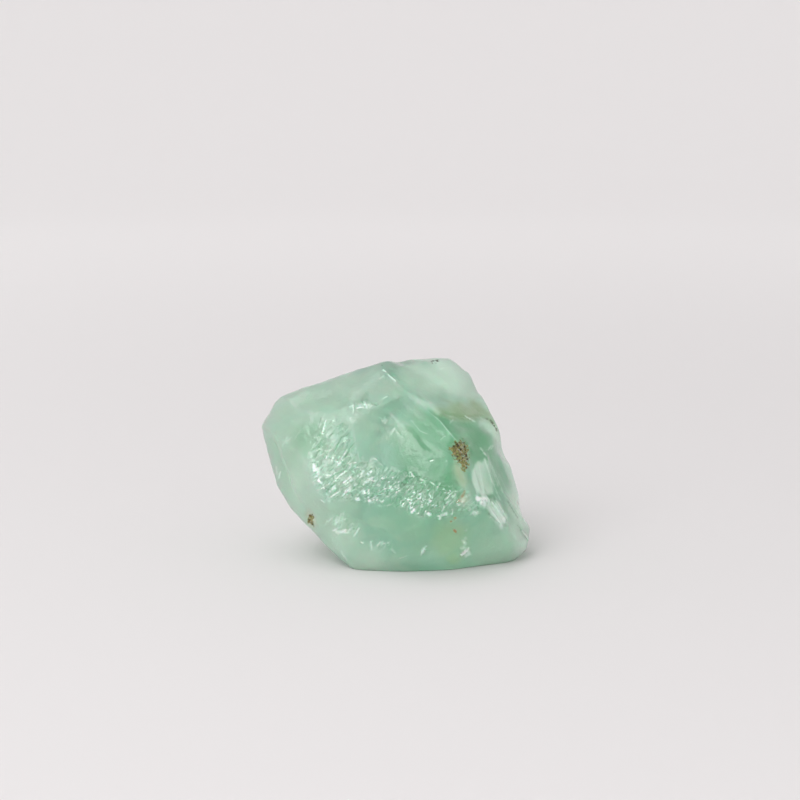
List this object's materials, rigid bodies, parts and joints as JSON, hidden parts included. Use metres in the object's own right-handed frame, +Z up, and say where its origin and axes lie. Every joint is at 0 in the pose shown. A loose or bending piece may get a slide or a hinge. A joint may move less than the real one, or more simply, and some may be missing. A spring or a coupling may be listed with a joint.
{
  "type": "raw green calcite",
  "caption": "Rough translucent pale green calcite lump with a wide shallow hollow broken out of its front, and a flat break that it rests on.",
  "frame": {"origin": "on the flat break that the lump rests on, under the middle of its bounding box", "axes": "+X along the lump's greatest length, towards its low corner, -Y the way its hollowed front looks, +Z up"},
  "size_m": [0.05, 0.036, 0.0357],
  "materials": {
    "calcite": "rough broken translucent crystal, with silky cleavage faces"
  },
  "bodies": {
    "root": {"calcite": "calcite"}
  },
  "joints": []
}
